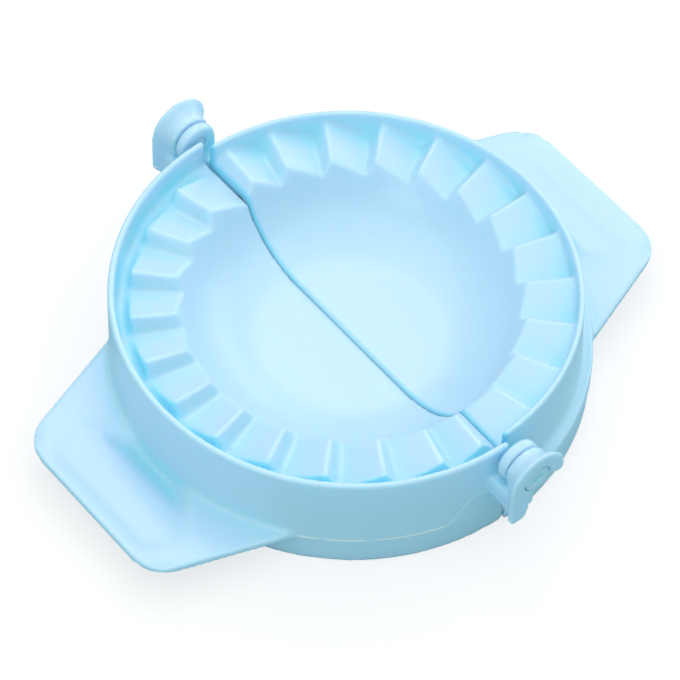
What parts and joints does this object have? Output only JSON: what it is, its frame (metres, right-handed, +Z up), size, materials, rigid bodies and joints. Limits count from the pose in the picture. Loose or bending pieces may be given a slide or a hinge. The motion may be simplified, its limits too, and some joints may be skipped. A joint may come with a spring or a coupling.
{
  "type": "dough folding press",
  "caption": "Round folding press for filled dough pockets: two hinged half bowls with meshing crimping teeth, nested rims and side handles.",
  "frame": {"origin": "middle of the flat base, under the middle of the fold axis, with the press lying open", "axes": "+Z up, +Y along the fold axis, +X towards the inner half, whose rim nests inside the other when folded"},
  "size_m": [0.123, 0.1056, 0.0275],
  "materials": {
    "half_plastic": "smooth glossy moulding",
    "pin_plastic": "smooth glossy moulding"
  },
  "bodies": {
    "outer": {"outer_half": "half_plastic"},
    "inner": {"inner_half": "half_plastic", "front_hinge_pin": "pin_plastic", "rear_hinge_pin": "pin_plastic"}
  },
  "joints": [
    {"name": "fold", "type": "hinge", "parent": "outer", "child": "inner", "pos_m": [0, 0, 0.0212], "axis": [0, -1, 0], "range_deg": [0, 180]}
  ]
}
